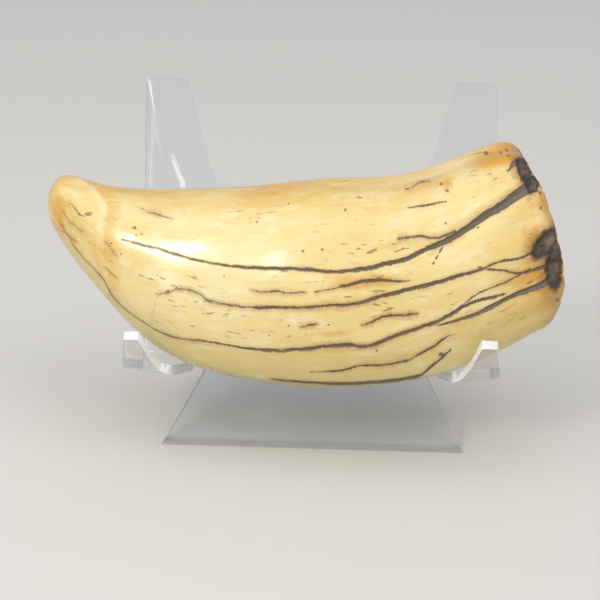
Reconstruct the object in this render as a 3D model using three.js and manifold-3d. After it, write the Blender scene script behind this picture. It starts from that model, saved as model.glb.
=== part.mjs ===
// Whale tooth on a clear easel stand.
// Millimetres, +Z up, the tooth along X with its root end at +X, its shown side facing -Y.
import * as THREE from "three";
import Module from "manifold-3d";

const wasm = await Module();
wasm.setup();

// Driving dimensions of the tooth
const TOOTH_LENGTH = 162;
const TOOTH_SHIFT_X = -4;
const ROUND = 2.12;
const BELLY_DROOP = 0.02;
const AROUND = 72;
const RINGS = 46;
const FLUTE_DEPTH = 0.016;
const CAVITY_DEPTH = 22;

// Driving dimensions of the stand, one sheet cut and bent
const SHEET = 3.2;
const HALF_WIDTH = 57;
const LEAN = THREE.MathUtils.degToRad(20);
const FOLD_HEIGHT = 18;
const ARM_LENGTH = 94;
const BAND_TOP = 14;
const NOTCH_HALF = 21;
const NOTCH_SLOPE = 0.276;
const BEND_RADIUS = 4.5;
const HOOK_TOP_INNER = 40;
const HOOK_BEND_INNER = 45;
const HOOK_TIP_INNER = 51.5;
const HOOK_BEND_OUTER = 58;
const HOOK_TIP_OUTER = 56.3;
const LEDGE_DEPTH = 35;
const LEDGE_BACK = 22;
const LEDGE_RISE = THREE.MathUtils.degToRad(27.5);
const LEDGE_TWIST = THREE.MathUtils.degToRad(4.6);
const LIP_FORWARD = THREE.MathUtils.degToRad(27);
const LIP_TAPER = 3;
const LIP_LENGTH = 14.2;
const FOOT_FOLD_HALF = 36;
const FOOT_EDGE_HALF = 48;
const FOOT_ANGLE = THREE.MathUtils.degToRad(47);
const REAR_ANGLE = THREE.MathUtils.degToRad(31.5);
const CLEARANCE = 0.3;

// Stations of the tooth from tip to root, as shares of its length:
// top edge along and up, bottom edge along and up, half thickness, distance of the middle from the back plane.
const STATIONS = [
  [0, 0.3415, 0, 0.3415, 0, 0.1094],
  [0.0006, 0.3556, 0.0021, 0.3261, 0.0155, 0.1094],
  [0.0045, 0.3705, 0.0068, 0.3067, 0.031, 0.1094],
  [0.0149, 0.3871, 0.0178, 0.2865, 0.0474, 0.1098],
  [0.0343, 0.3982, 0.0353, 0.2596, 0.0629, 0.1105],
  [0.0654, 0.3943, 0.0596, 0.228, 0.0784, 0.1118],
  [0.1061, 0.3822, 0.0887, 0.1934, 0.0912, 0.1136],
  [0.1546, 0.3765, 0.1236, 0.1551, 0.103, 0.1162],
  [0.2128, 0.3752, 0.1701, 0.1063, 0.1131, 0.1197],
  [0.2749, 0.3771, 0.2225, 0.0662, 0.1222, 0.1244],
  [0.3428, 0.3802, 0.2865, 0.0351, 0.1294, 0.1298],
  [0.4145, 0.3848, 0.3719, 0.0135, 0.1349, 0.1349],
  [0.4883, 0.3945, 0.4611, 0.0015, 0.1395, 0.1395],
  [0.5659, 0.4022, 0.5523, -0.0029, 0.1422, 0.1422],
  [0.6512, 0.4045, 0.6473, 0.0036, 0.144, 0.144],
  [0.721, 0.4186, 0.7406, 0.0198, 0.1449, 0.1449],
  [0.7889, 0.4437, 0.828, 0.0491, 0.1446, 0.1449],
  [0.8451, 0.4646, 0.9048, 0.0841, 0.1422, 0.1446],
  [0.8809, 0.4772, 0.9602, 0.1159, 0.1368, 0.144],
];

// Rings over the root end: size as a share of the last station, then distance outward in mm.
const ROOT_RINGS = [
  [0.985, 2.8],
  [0.94, 5.2],
  [0.87, 6.9],
  [0.78, 7.3],
  [0.68, 6.4],
  [0.6, 4.2],
  [0.52, -1.5],
  [0.42, -6.0],
  [0.28, -CAVITY_DEPTH * 0.6],
  [0.12, -CAVITY_DEPTH * 0.88],
];

const smooth = (a, b, x) => {
  const t = Math.min(1, Math.max(0, (x - a) / (b - a)));
  return t * t * (3 - 2 * t);
};

// Value of one column of the stations at a share of the way from tip to root, on a uniform Catmull-Rom curve.
const station = (column, share) => {
  const last = STATIONS.length - 1;
  const at = Math.min(last - 1e-9, Math.max(0, share * last));
  const i = Math.floor(at);
  const t = at - i;
  const value = (k) => {
    if (k < 0) return 2 * STATIONS[0][column] - STATIONS[1][column];
    if (k > last) return 2 * STATIONS[last][column] - STATIONS[last - 1][column];
    return STATIONS[k][column];
  };
  const [p0, p1, p2, p3] = [value(i - 1), value(i), value(i + 1), value(i + 2)];
  const a = 2 * p1;
  const b = p2 - p0;
  const c = 2 * p0 - 5 * p1 + 4 * p2 - p3;
  const d = -p0 + 3 * p1 - 3 * p2 + p3;
  return 0.5 * (a + b * t + c * t * t + d * t * t * t);
};

// Long shallow flutes that grow toward the root.
const flute = (share, angle) => {
  const grow = smooth(0.35, 1.0, share);
  const wave = Math.cos(7 * angle + 1.1) + 0.6 * Math.cos(12 * angle + 0.4);
  return 1 + FLUTE_DEPTH * grow * wave;
};

// A point of the tooth: along X, up the leaning plane, and away from the back plane, in mm.
// size shrinks the section toward its middle, out moves it along the tooth.
const toothPoint = (share, angle, size, out) => {
  const top = [station(0, share), station(1, share)];
  const bottom = [station(2, share), station(3, share)];
  const half = station(4, share);
  const middle = station(5, share);
  const cos = Math.cos(angle);
  const sin = Math.sin(angle);
  const power = 2 / ROUND;
  const scale = size * flute(share, angle);
  const side = Math.sign(cos) * Math.abs(cos) ** power * (1 - BELLY_DROOP * sin) * scale;
  const rise = Math.sign(sin) * Math.abs(sin) ** power * scale;
  const across = [top[0] - bottom[0], top[1] - bottom[1]];
  const tall = Math.hypot(across[0], across[1]) || 1;
  const along = 0.5 * (top[0] + bottom[0]) + 0.5 * across[0] * rise;
  const up = 0.5 * (top[1] + bottom[1]) + 0.5 * across[1] * rise;
  return [
    along * TOOTH_LENGTH + (out * across[1]) / tall,
    up * TOOTH_LENGTH - (out * across[0]) / tall,
    (middle + half * side) * TOOTH_LENGTH,
  ];
};

// Rows of the loft: the pole at the tip, the sections, the rings over the root end, the pole in the cavity.
const toothRows = () => {
  const rows = [];
  for (let i = 1; i <= RINGS; i += 1) {
    const share = (i / RINGS) ** 1.12;
    rows.push({ share, size: 1, out: 0 });
  }
  ROOT_RINGS.forEach(([size, out]) => rows.push({ share: 1, size, out }));
  return rows;
};

// From the tooth's own plane to the stand's frame: the back plane leans with the stand.
const leaned = ([along, up, off]) => [
  along - TOOTH_LENGTH / 2 + TOOTH_SHIFT_X,
  up * Math.sin(LEAN) - off * Math.cos(LEAN),
  up * Math.cos(LEAN) + off * Math.sin(LEAN),
];

const toothShell = () => {
  const rows = toothRows();
  const points = [leaned(toothPoint(0, 0, 1, 0))];
  rows.forEach(({ share, size, out }) => {
    for (let j = 0; j < AROUND; j += 1) {
      const angle = (2 * Math.PI * j) / AROUND;
      points.push(leaned(toothPoint(share, angle, size, out)));
    }
  });
  points.push(leaned(toothPoint(1, 0, 0, -CAVITY_DEPTH)));
  const faces = [];
  const at = (row, j) => 1 + row * AROUND + (j % AROUND);
  for (let j = 0; j < AROUND; j += 1) {
    faces.push([0, at(0, j + 1), at(0, j)]);
    faces.push([points.length - 1, at(rows.length - 1, j), at(rows.length - 1, j + 1)]);
  }
  for (let row = 0; row + 1 < rows.length; row += 1) {
    for (let j = 0; j < AROUND; j += 1) {
      faces.push([at(row, j), at(row, j + 1), at(row + 1, j)]);
      faces.push([at(row + 1, j), at(row, j + 1), at(row + 1, j + 1)]);
    }
  }
  return { points, faces };
};

// A bent path in the YZ plane as samples of place and normal, starting at a point and a direction.
// A run may veer a little before it starts; a turn follows the bend radius.
const bentPath = (startY, startZ, startAngle, moves) => {
  let [y, z, angle] = [startY, startZ, startAngle];
  const samples = [];
  const mark = (share) => samples.push({ y, z, ny: -Math.sin(angle), nz: Math.cos(angle), share });
  mark(0);
  moves.forEach((move, k) => {
    if (move.run !== undefined) {
      angle += move.veer || 0;
      y += move.run * Math.cos(angle);
      z += move.run * Math.sin(angle);
      mark(k + 1);
      return;
    }
    const steps = 7;
    const turn = move.turn / steps;
    const chord = 2 * BEND_RADIUS * Math.sin(Math.abs(turn) / 2);
    for (let i = 1; i <= steps; i += 1) {
      angle += turn / 2;
      y += chord * Math.cos(angle);
      z += chord * Math.sin(angle);
      angle += turn / 2;
      mark(k + i / steps);
    }
  });
  return samples;
};

const manifoldOf = (points, faces) => {
  const mesh = new wasm.Mesh({
    numProp: 3,
    vertProperties: new Float32Array(points.flat()),
    triVerts: new Uint32Array(faces.flat()),
  });
  const made = new wasm.Manifold(mesh);
  if (made.volume() > 0) return made;
  const turned = faces.map(([a, b, c]) => [a, c, b]);
  return manifoldOf(points, turned);
};

// A strip of the sheet between a left edge and a right edge, each with its own bent path.
const strip = (left, right, leftX, rightX) => {
  const points = [];
  left.forEach((l, i) => {
    const r = right[i];
    const h = SHEET / 2;
    points.push([leftX(l.share), l.y + l.ny * h, l.z + l.nz * h]);
    points.push([rightX(r.share), r.y + r.ny * h, r.z + r.nz * h]);
    points.push([rightX(r.share), r.y - r.ny * h, r.z - r.nz * h]);
    points.push([leftX(l.share), l.y - l.ny * h, l.z - l.nz * h]);
  });
  const faces = [
    [0, 1, 2],
    [0, 2, 3],
  ];
  for (let i = 0; i + 1 < left.length; i += 1) {
    for (let k = 0; k < 4; k += 1) {
      const a = 4 * i + k;
      const b = 4 * i + ((k + 1) % 4);
      faces.push([a, a + 4, b]);
      faces.push([b, a + 4, b + 4]);
    }
  }
  const e = 4 * (left.length - 1);
  faces.push([e, e + 2, e + 1]);
  faces.push([e, e + 3, e + 2]);
  return manifoldOf(points, faces);
};

// Value between given stops by the share along a path.
const between = (stops) => (share) => {
  const i = Math.min(stops.length - 2, Math.max(0, stops.findIndex((s) => s[0] > share) - 1));
  const k = share >= stops[stops.length - 1][0] ? stops.length - 2 : i;
  const [a, b] = [stops[k], stops[k + 1]];
  return a[1] + ((b[1] - a[1]) * (share - a[0])) / (b[0] - a[0]);
};

// The leaning panel: two arms, the notch between them and the band under it.
const panel = () => {
  const low = 4;
  const notchTop = NOTCH_HALF + NOTCH_SLOPE * (ARM_LENGTH - BAND_TOP);
  const corner = 3;
  const shape = new THREE.Shape();
  shape.moveTo(-HALF_WIDTH, low);
  shape.lineTo(HALF_WIDTH, low);
  shape.lineTo(HALF_WIDTH, ARM_LENGTH - corner);
  shape.quadraticCurveTo(HALF_WIDTH, ARM_LENGTH, HALF_WIDTH - corner, ARM_LENGTH);
  shape.lineTo(notchTop, ARM_LENGTH);
  shape.lineTo(NOTCH_HALF, BAND_TOP);
  shape.lineTo(-NOTCH_HALF, BAND_TOP);
  shape.lineTo(-notchTop, ARM_LENGTH);
  shape.lineTo(-HALF_WIDTH + corner, ARM_LENGTH);
  shape.quadraticCurveTo(-HALF_WIDTH, ARM_LENGTH, -HALF_WIDTH, ARM_LENGTH - corner);
  const outline = shape.getPoints(4);
  const ring = outline.map((p) => [p.x, p.y]);
  const cut = new wasm.CrossSection([ring], "Positive");
  const slab = cut.extrude(SHEET, 0, 0, [1, 1], true);
  const turned = slab.rotate([90, 0, 0]);
  return turned.rotate([-THREE.MathUtils.radToDeg(LEAN), 0, 0]).translate([0, 0, FOLD_HEIGHT]);
};

// A point on the middle of the panel, a distance up it from the fold.
const onPanel = (up) => [up * Math.sin(LEAN), FOLD_HEIGHT + up * Math.cos(LEAN)];
const panelUp = Math.PI / 2 - LEAN;
const OVERLAP_UP = 5;

// One hook: down the panel, forward as a ledge, then up as a short lip that leans forward.
// The ledge's back part is a little lower along its inner edge, and the lip a little longer there.
const hook = (sign) => {
  const path = (extra, sink) => {
    const [y, z] = onPanel(OVERLAP_UP);
    const ledgeTurn = Math.PI / 2 - LEAN + LEDGE_RISE - sink;
    const lipTurn = Math.PI / 2 - LEDGE_RISE - LIP_FORWARD;
    const ledgeTangent = BEND_RADIUS * Math.tan(ledgeTurn / 2);
    const lipTangent = BEND_RADIUS * Math.tan(lipTurn / 2);
    return bentPath(y, z, panelUp + Math.PI, [
      { run: OVERLAP_UP - ledgeTangent },
      { turn: -ledgeTurn },
      { run: LEDGE_BACK - ledgeTangent },
      { run: LEDGE_DEPTH - LEDGE_BACK - lipTangent, veer: -sink },
      { turn: -lipTurn },
      { run: (LIP_LENGTH + extra - lipTangent) * 0.35 },
      { run: (LIP_LENGTH + extra - lipTangent) * 0.35 },
      { run: (LIP_LENGTH + extra - lipTangent) * 0.3 },
    ]);
  };
  const outer = path(0, 0);
  const inner = path(LIP_TAPER, LEDGE_TWIST);
  const innerX = between([
    [0, HOOK_TOP_INNER],
    [1, HOOK_TOP_INNER],
    [2, HOOK_TOP_INNER],
    [3, HOOK_BEND_INNER - 1.8],
    [4, HOOK_BEND_INNER - 1.5],
    [4.5, HOOK_BEND_INNER - 0.6],
    [5, HOOK_BEND_INNER + 1.4],
    [6, HOOK_BEND_INNER + 3.8],
    [7, HOOK_TIP_INNER - 1.2],
    [8, HOOK_TIP_INNER],
  ]);
  const outerX = between([
    [0, HALF_WIDTH],
    [2, HALF_WIDTH],
    [4, HOOK_BEND_OUTER],
    [5, HOOK_BEND_OUTER],
    [8, HOOK_TIP_OUTER],
  ]);
  if (sign > 0) return strip(inner, outer, (s) => innerX(s), (s) => outerX(s));
  return strip(outer, inner, (s) => -outerX(s), (s) => -innerX(s));
};

// The front foot: bent down and forward from the band, wider toward its edge on the surface.
const frontFoot = () => {
  const [y, z] = onPanel(OVERLAP_UP);
  const turn = FOOT_ANGLE - LEAN;
  const tangent = BEND_RADIUS * Math.tan(turn / 2);
  const reach = FOLD_HEIGHT / Math.cos(FOOT_ANGLE) + 4;
  const path = bentPath(y, z, panelUp + Math.PI, [
    { run: OVERLAP_UP - tangent },
    { turn: -turn },
    { run: reach - tangent },
  ]);
  const grow = (FOOT_EDGE_HALF - FOOT_FOLD_HALF) * (reach / (reach - 4));
  const half = between([
    [0, FOOT_FOLD_HALF],
    [2, FOOT_FOLD_HALF],
    [3, FOOT_FOLD_HALF + grow],
  ]);
  return strip(path, path, (s) => -half(s), (s) => half(s));
};

// The rear leg: the tongue cut from between the arms, bent back and down to the surface.
const rearLeg = () => {
  const start = BAND_TOP - 4;
  const [y, z] = onPanel(start);
  const turn = panelUp + REAR_ANGLE;
  const legTop = onPanel(BAND_TOP)[1] + BEND_RADIUS;
  const reach = legTop / Math.sin(REAR_ANGLE) + 6;
  const path = bentPath(y, z, panelUp, [{ run: 4 }, { turn: -turn }, { run: reach }]);
  const half = between([
    [0, NOTCH_HALF - 0.5],
    [2, NOTCH_HALF - 0.5],
    [3, NOTCH_HALF - 0.5 + NOTCH_SLOPE * reach],
  ]);
  return strip(path, path, (s) => -half(s), (s) => half(s));
};

const standSolid = () => {
  const ground = wasm.Manifold.cube([400, 400, 60], true).translate([0, 0, -30]);
  return [frontFoot(), rearLeg(), hook(-1), hook(1)]
    .reduce((whole, piece) => whole.add(piece), panel())
    .subtract(ground);
};

// Rest the tooth: its back a clearance off the panel, then down onto the two ledges.
const toothSolid = (stand) => {
  const { points, faces } = toothShell();
  const backGap = (p) => -p[1] * Math.cos(LEAN) + (p[2] - FOLD_HEIGHT) * Math.sin(LEAN) - SHEET / 2;
  const forward = Math.max(...points.map((p) => CLEARANCE - backGap(p)));
  const shell = manifoldOf(points, faces);
  const raised = (lift) => {
    const y = -forward * Math.cos(LEAN) + lift * Math.sin(LEAN);
    const z = forward * Math.sin(LEAN) + lift * Math.cos(LEAN);
    return shell.translate([0, y, z]);
  };
  let [low, high] = [0, FOLD_HEIGHT + SHEET + CLEARANCE];
  while (high - low > 0.01) {
    const lift = (low + high) / 2;
    const free = raised(lift).minGap(stand, 2) > CLEARANCE * 0.97;
    if (free) high = lift;
    else low = lift;
  }
  return raised(high);
};

const ivory = new THREE.MeshStandardMaterial({ color: 0xe6cf95, roughness: 0.35 });
const clearSheet = new THREE.MeshStandardMaterial({
  color: 0xdfe9f2,
  roughness: 0.08,
  transparent: true,
  opacity: 0.35,
});

const meshOf = (name, solid, material) => {
  const mesh = solid.getMesh();
  const stride = mesh.numProp;
  const flat = new Float32Array(mesh.numVert * 3);
  for (let i = 0; i < mesh.numVert; i += 1) {
    flat.set(mesh.vertProperties.subarray(i * stride, i * stride + 3), i * 3);
  }
  const geometry = new THREE.BufferGeometry();
  geometry.setAttribute("position", new THREE.BufferAttribute(flat, 3));
  geometry.setIndex(new THREE.BufferAttribute(mesh.triVerts, 1));
  geometry.computeVertexNormals();
  const made = new THREE.Mesh(geometry, material);
  made.name = name;
  return made;
};

// The origin is at the middle of the underside of the whole.
const stand = standSolid();
const tooth = toothSolid(stand);
const boxes = [stand.boundingBox(), tooth.boundingBox()];
const middle = (axis) => {
  const low = Math.min(...boxes.map((b) => b.min[axis]));
  const high = Math.max(...boxes.map((b) => b.max[axis]));
  return -(low + high) / 2;
};
const shift = [middle(0), middle(1), 0];

const whole = new THREE.Group();
whole.add(meshOf("tooth", tooth.translate(shift), ivory));
whole.add(meshOf("stand", stand.translate(shift), clearSheet));

export default whole;
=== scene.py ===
import math

import bpy
import numpy as np
from bpy.props import FloatProperty, FloatVectorProperty, IntProperty, PointerProperty
from bpy.types import Operator, Panel, PropertyGroup
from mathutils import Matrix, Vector


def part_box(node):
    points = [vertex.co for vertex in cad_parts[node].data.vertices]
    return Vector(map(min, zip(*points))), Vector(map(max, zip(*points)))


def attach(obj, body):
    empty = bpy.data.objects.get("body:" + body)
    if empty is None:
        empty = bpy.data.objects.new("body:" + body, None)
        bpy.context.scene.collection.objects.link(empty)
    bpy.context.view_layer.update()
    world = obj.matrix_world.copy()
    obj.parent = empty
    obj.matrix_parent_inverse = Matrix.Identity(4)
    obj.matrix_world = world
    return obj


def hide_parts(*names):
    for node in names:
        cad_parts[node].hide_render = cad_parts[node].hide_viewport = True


bl_info = {
    "name": "Whale Tooth on Easel",
    "version": (1, 0, 0),
    "blender": (4, 5, 0),
    "location": "View3D > Sidebar > Tooth",
    "description": "A polished, age-cracked whale tooth lying in a clear bent easel stand",
    "category": "Object",
}

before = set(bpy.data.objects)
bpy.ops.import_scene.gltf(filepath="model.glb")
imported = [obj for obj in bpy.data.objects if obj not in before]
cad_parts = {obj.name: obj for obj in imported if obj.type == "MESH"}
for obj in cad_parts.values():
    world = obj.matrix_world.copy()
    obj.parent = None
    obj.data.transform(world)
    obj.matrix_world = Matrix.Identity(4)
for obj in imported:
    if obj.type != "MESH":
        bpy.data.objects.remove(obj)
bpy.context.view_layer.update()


def linear(code):
    """Linear colour of an sRGB hex code."""
    parts = [int(code[i:i + 2], 16) / 255 for i in (0, 2, 4)]
    return tuple(c / 12.92 if c <= 0.04045 else ((c + 0.055) / 1.055) ** 2.4 for c in parts)


def rgba(code):
    return (*linear(code), 1.0)


# The tooth's own form, as in the solid, in mm.
TOOTH_LENGTH = 162
TOOTH_SHIFT_X = -4
ROUND = 2.12
BELLY_DROOP = 0.02
FLUTE_DEPTH = 0.016
CAVITY_DEPTH = 22
LEAN = math.radians(20)
# Where the coordinates of the shown side (x, up the leaning side, off the panel) have their zero, in mm.
SIDE_Y = -13.305
SIDE_Z = 19.894
# The solid's loft: faces around it, rings along it, and how the rings crowd toward the tip.
SOLID_AROUND = 72
SOLID_RINGS = 46
SOLID_CROWD = 1.12
# Stations from tip to root as shares of the length: top edge along and up, bottom edge along and up,
# half thickness, distance of the middle from the back plane.
STATIONS = np.array([
    [0, 0.3415, 0, 0.3415, 0, 0.1094],
    [0.0006, 0.3556, 0.0021, 0.3261, 0.0155, 0.1094],
    [0.0045, 0.3705, 0.0068, 0.3067, 0.031, 0.1094],
    [0.0149, 0.3871, 0.0178, 0.2865, 0.0474, 0.1098],
    [0.0343, 0.3982, 0.0353, 0.2596, 0.0629, 0.1105],
    [0.0654, 0.3943, 0.0596, 0.228, 0.0784, 0.1118],
    [0.1061, 0.3822, 0.0887, 0.1934, 0.0912, 0.1136],
    [0.1546, 0.3765, 0.1236, 0.1551, 0.103, 0.1162],
    [0.2128, 0.3752, 0.1701, 0.1063, 0.1131, 0.1197],
    [0.2749, 0.3771, 0.2225, 0.0662, 0.1222, 0.1244],
    [0.3428, 0.3802, 0.2865, 0.0351, 0.1294, 0.1298],
    [0.4145, 0.3848, 0.3719, 0.0135, 0.1349, 0.1349],
    [0.4883, 0.3945, 0.4611, 0.0015, 0.1395, 0.1395],
    [0.5659, 0.4022, 0.5523, -0.0029, 0.1422, 0.1422],
    [0.6512, 0.4045, 0.6473, 0.0036, 0.144, 0.144],
    [0.721, 0.4186, 0.7406, 0.0198, 0.1449, 0.1449],
    [0.7889, 0.4437, 0.828, 0.0491, 0.1446, 0.1449],
    [0.8451, 0.4646, 0.9048, 0.0841, 0.1422, 0.1446],
    [0.8809, 0.4772, 0.9602, 0.1159, 0.1368, 0.144],
])
# Rings over the root end: size as a share of the last station, distance outward in mm.
ROOT_RINGS = np.array([
    [1.0, 0], [0.985, 2.8], [0.94, 5.2], [0.87, 6.9], [0.78, 7.3], [0.68, 6.4], [0.6, 4.2],
    [0.52, -1.5], [0.42, -6.0],
    [0.28, -0.6 * CAVITY_DEPTH], [0.12, -0.88 * CAVITY_DEPTH], [0.0, -CAVITY_DEPTH],
])

# Age cracks of the shown side: points (x, up the leaning side, half width), all in mm.
CRACKS = {
    "upper": [
        (-54.6, 40.8, 0.06), (-51.6, 40.4, 0.12), (-46.3, 39.3, 0.17), (-40.9, 37.9, 0.22),
        (-34.3, 36.2, 0.24), (-28.4, 35.1, 0.26), (-21.3, 34.1, 0.28), (-10.4, 33.7, 0.36),
        (1.1, 33.7, 0.42), (10.6, 33.2, 0.5), (19.9, 34.4, 0.52), (26.1, 35.8, 0.6),
        (32.2, 37.4, 0.62), (38.4, 40.5, 0.66), (44.5, 43.3, 0.72), (49.4, 46.3, 0.85),
        (55.5, 50.9, 1.0), (60.5, 53.9, 1.1), (64.3, 56.9, 1.3), (68.1, 59.4, 1.7), (70.6, 61.2, 1.9),
    ],
    "loop": [
        (-44.2, 18.2, 0.0), (-42.6, 24.2, 0.05), (-38.6, 25.6, 0.12), (-35.3, 26.4, 0.08), (-29.4, 25.4, 0.1),
        (-25.5, 22.6, 0.06), (-14.7, 22.0, 0.04),
    ],
    "middle": [
        (-27.5, 23.3, 0.08), (-19.8, 22.1, 0.16), (-14.7, 22.0, 0.2), (-11.3, 21.7, 0.28), (-6.9, 22.0, 0.36),
        (1.4, 22.3, 0.26), (10.8, 23.2, 0.3), (17.0, 23.7, 0.4), (25.1, 26.2, 0.5), (32.5, 28.3, 0.56),
        (41.2, 30.7, 0.52), (48.6, 33.1, 0.44), (54.7, 35.0, 0.32), (59.0, 37.3, 0.28), (66.4, 38.7, 0.28),
        (70.1, 40.3, 0.4), (73.4, 42.1, 0.8),
    ],
    "lower": [
        (-74.2, 42.7, 0.06), (-69.8, 37.7, 0.14), (-64.8, 32.7, 0.16), (-60.0, 27.9, 0.18),
        (-57.7, 23.2, 0.18), (-53.5, 19.3, 0.2), (-47.9, 15.7, 0.2), (-43.1, 13.0, 0.2),
        (-37.0, 11.1, 0.22), (-27.8, 10.6, 0.24),
        (-19.8, 9.5, 0.28), (-15.4, 8.8, 0.34), (-6.9, 8.7, 0.42), (1.4, 9.2, 0.44), (11.0, 10.7, 0.42),
        (16.6, 11.1, 0.6), (19.2, 10.8, 0.4), (23.6, 11.3, 0.42), (27.9, 13.4, 0.5), (32.8, 15.5, 0.48),
        (42.2, 18.9, 0.48), (47.8, 22.3, 0.46), (51.2, 24.5, 0.42), (57.5, 26.5, 0.36), (62.4, 27.9, 0.2),
    ],
    "lower_branch": [
        (42.3, 17.9, 0.2), (45.2, 18.6, 0.34), (53.4, 21.4, 0.48), (59.6, 24.6, 0.62), (66.3, 28.0, 0.66),
        (73.1, 30.5, 0.8), (77.0, 33.4, 1.0),
    ],
    "short_middle": [
        (5.8, 27.2, 0.08), (7.5, 27.6, 0.14), (13.8, 28.9, 0.2), (16.5, 29.6, 0.42), (20.0, 30.7, 0.5),
        (26.2, 31.2, 0.42), (31.2, 30.9, 0.26), (33.9, 31.3, 0.1),
    ],
    "hair_a": [
        (20.0, 17.6, 0.1), (22.2, 18.4, 0.2), (26.5, 20.2, 0.24), (34.0, 21.1, 0.2), (36.5, 21.4, 0.08),
    ],
    "hair_b": [
        (32.8, 52.5, 0.1), (34.5, 52.8, 0.2), (38.1, 53.7, 0.28), (42.5, 54.5, 0.22), (44.3, 54.7, 0.08),
    ],
    "hair_c": [
        (30.0, 43.5, 0.08), (32.1, 43.7, 0.18), (35.9, 44.4, 0.22), (40.9, 43.9, 0.24), (44.6, 44.9, 0.22),
        (47.1, 46.0, 0.2),
    ],
    "belly_a": [
        (4.4, 1.9, 0.08), (7.7, 2.2, 0.2), (14.1, 2.8, 0.26), (20.5, 4.6, 0.26), (26.8, 5.0, 0.24),
        (31.9, 6.0, 0.18), (34.0, 6.5, 0.08),
    ],
    "belly_b": [
        (32.2, 6.5, 0.1), (34.4, 7.0, 0.2), (38.1, 9.2, 0.26), (41.8, 11.6, 0.3), (44.8, 14.0, 0.22),
        (46.3, 15.1, 0.1),
    ],
    "belly_c": [(34.9, -0.2, 0.1), (36.6, 0.5, 0.3), (40.9, 4.3, 0.32), (45.1, 8.5, 0.28), (46.5, 9.9, 0.1)],
    "belly_d": [
        (-8.0, -1.2, 0.1), (2.0, -1.8, 0.3), (12.0, -2.0, 0.5), (20.0, -1.6, 0.55), (28.9, -0.7, 0.6),
        (37.2, 1.3, 0.4), (39.0, 2.2, 0.1),
    ],
    "root_hair": [
        (45.5, 20.4, 0.1), (47.7, 22.6, 0.16), (54.4, 27.8, 0.18), (60.5, 30.7, 0.18), (66.6, 34.0, 0.22),
        (69.2, 35.2, 0.24),
    ],
    "tip_a": [(-72.1, 51.5, 0.04), (-69.6, 49.5, 0.12), (-67.9, 48.0, 0.14), (-66.2, 47.4, 0.06)],
    "tip_b": [(-74.0, 48.7, 0.04), (-72.2, 46.3, 0.1), (-69.4, 44.6, 0.12), (-67.0, 42.8, 0.04)],
    "tip_c": [(-74.8, 44.6, 0.04), (-73.0, 42.5, 0.1), (-71.2, 41.0, 0.1), (-69.1, 39.6, 0.04)],
    "tip_d": [(-59.5, 39.7, 0.04), (-57.4, 37.7, 0.14), (-55.4, 35.6, 0.04)],
    "tip_e": [(-59.7, 32.0, 0.04), (-57.8, 30.6, 0.12), (-55.5, 28.5, 0.04)],
    "top_dash": [(-49.2, 50.6, 0.04), (-46.8, 49.4, 0.14), (-42.7, 48.6, 0.16), (-38.8, 47.6, 0.04)],
    "mid_dash": [
        (-13.8, 26.9, 0.04), (-10.2, 26.7, 0.16), (-6.2, 26.8, 0.12), (-3.2, 26.6, 0.16), (3.0, 27.0, 0.06),
    ],
    "low_dash": [(1.4, 16.5, 0.04), (4.4, 17.2, 0.22), (6.5, 17.5, 0.04)],
    "root_top": [(31.8, 58.2, 0.04), (36.3, 60.1, 0.14), (39.3, 61.0, 0.04)],
    "finger": [(61.8, 64.2, 0.1), (63.6, 66.0, 0.5), (65.4, 67.6, 0.6)],
    "root_cross": [
        (53.8, 35.6, 0.14), (55.8, 35.4, 0.2), (60.9, 34.9, 0.22), (66.6, 34.3, 0.26), (72.8, 35.9, 0.4),
        (75.8, 37.6, 0.7),
    ],
}
# Where the root is worn through to dark hollows: (x, up, half length, half height, tilt in degrees, depth),
# in mm.
HOLLOWS = [
    (67.2, 64.2, 4.8, 2.0, 108, 2.2),
    (69.6, 60.4, 3.0, 1.9, 80, 1.8),
    (73.8, 43.0, 6.4, 3.3, 50, 2.2),
    (76.4, 35.4, 7.2, 2.7, 96, 2.0),
    (77.4, 40.6, 4.4, 2.6, 96, 1.8),
]
# Small dark pits: (x, up, radius) in mm.
PITS = [
    (-57.5, 39.5, 0.5), (-50.2, 44.6, 0.6), (-48.0, 42.8, 0.4), (-39.0, 25.8, 0.6), (-36.5, 26.9, 0.4),
    (-11.8, 22.0, 0.5), (43.9, 8.6, 0.9), (-54.2, 36.4, 0.4), (53.5, 47.3, 0.6), (44.1, 48.3, 0.55),
    (-2.0, 16.6, 0.45), (-3.2, 53.0, 0.4), (1.8, 39.0, 0.6), (7.6, 39.6, 0.7), (44.3, 57.9, 0.8),
    (42.5, 59.9, 0.8), (56.2, 69.5, 1.1), (60.5, 69.6, 0.7), (62.4, 70.5, 0.7), (62.6, 68.8, 0.7),
    (71.8, 57.9, 0.7), (72.1, 53.5, 0.7), (78.2, 25.9, 1.0), (63.4, 55.2, 0.5), (-8.0, 13.4, 0.4),
    (10.0, 17.2, 0.6), (-12.6, 47.5, 0.5), (14.0, 51.6, 0.6), (-22.0, 31.0, 0.4), (24.5, 9.6, 0.5),
]
# Short ticks across the grain: (x, up, half length, half width, tilt in degrees), in mm.
TICKS = [
    (42.8, 40.5, 1.5, 0.42, 62), (41.6, 38.3, 1.1, 0.42, 60), (40.7, 36.6, 0.7, 0.45, 60),
    (43.9, 8.6, 1.1, 0.9, 0), (46.5, 9.9, 1.0, 0.4, 55), (14.0, 29.3, 1.6, 0.4, 5),
]
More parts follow.
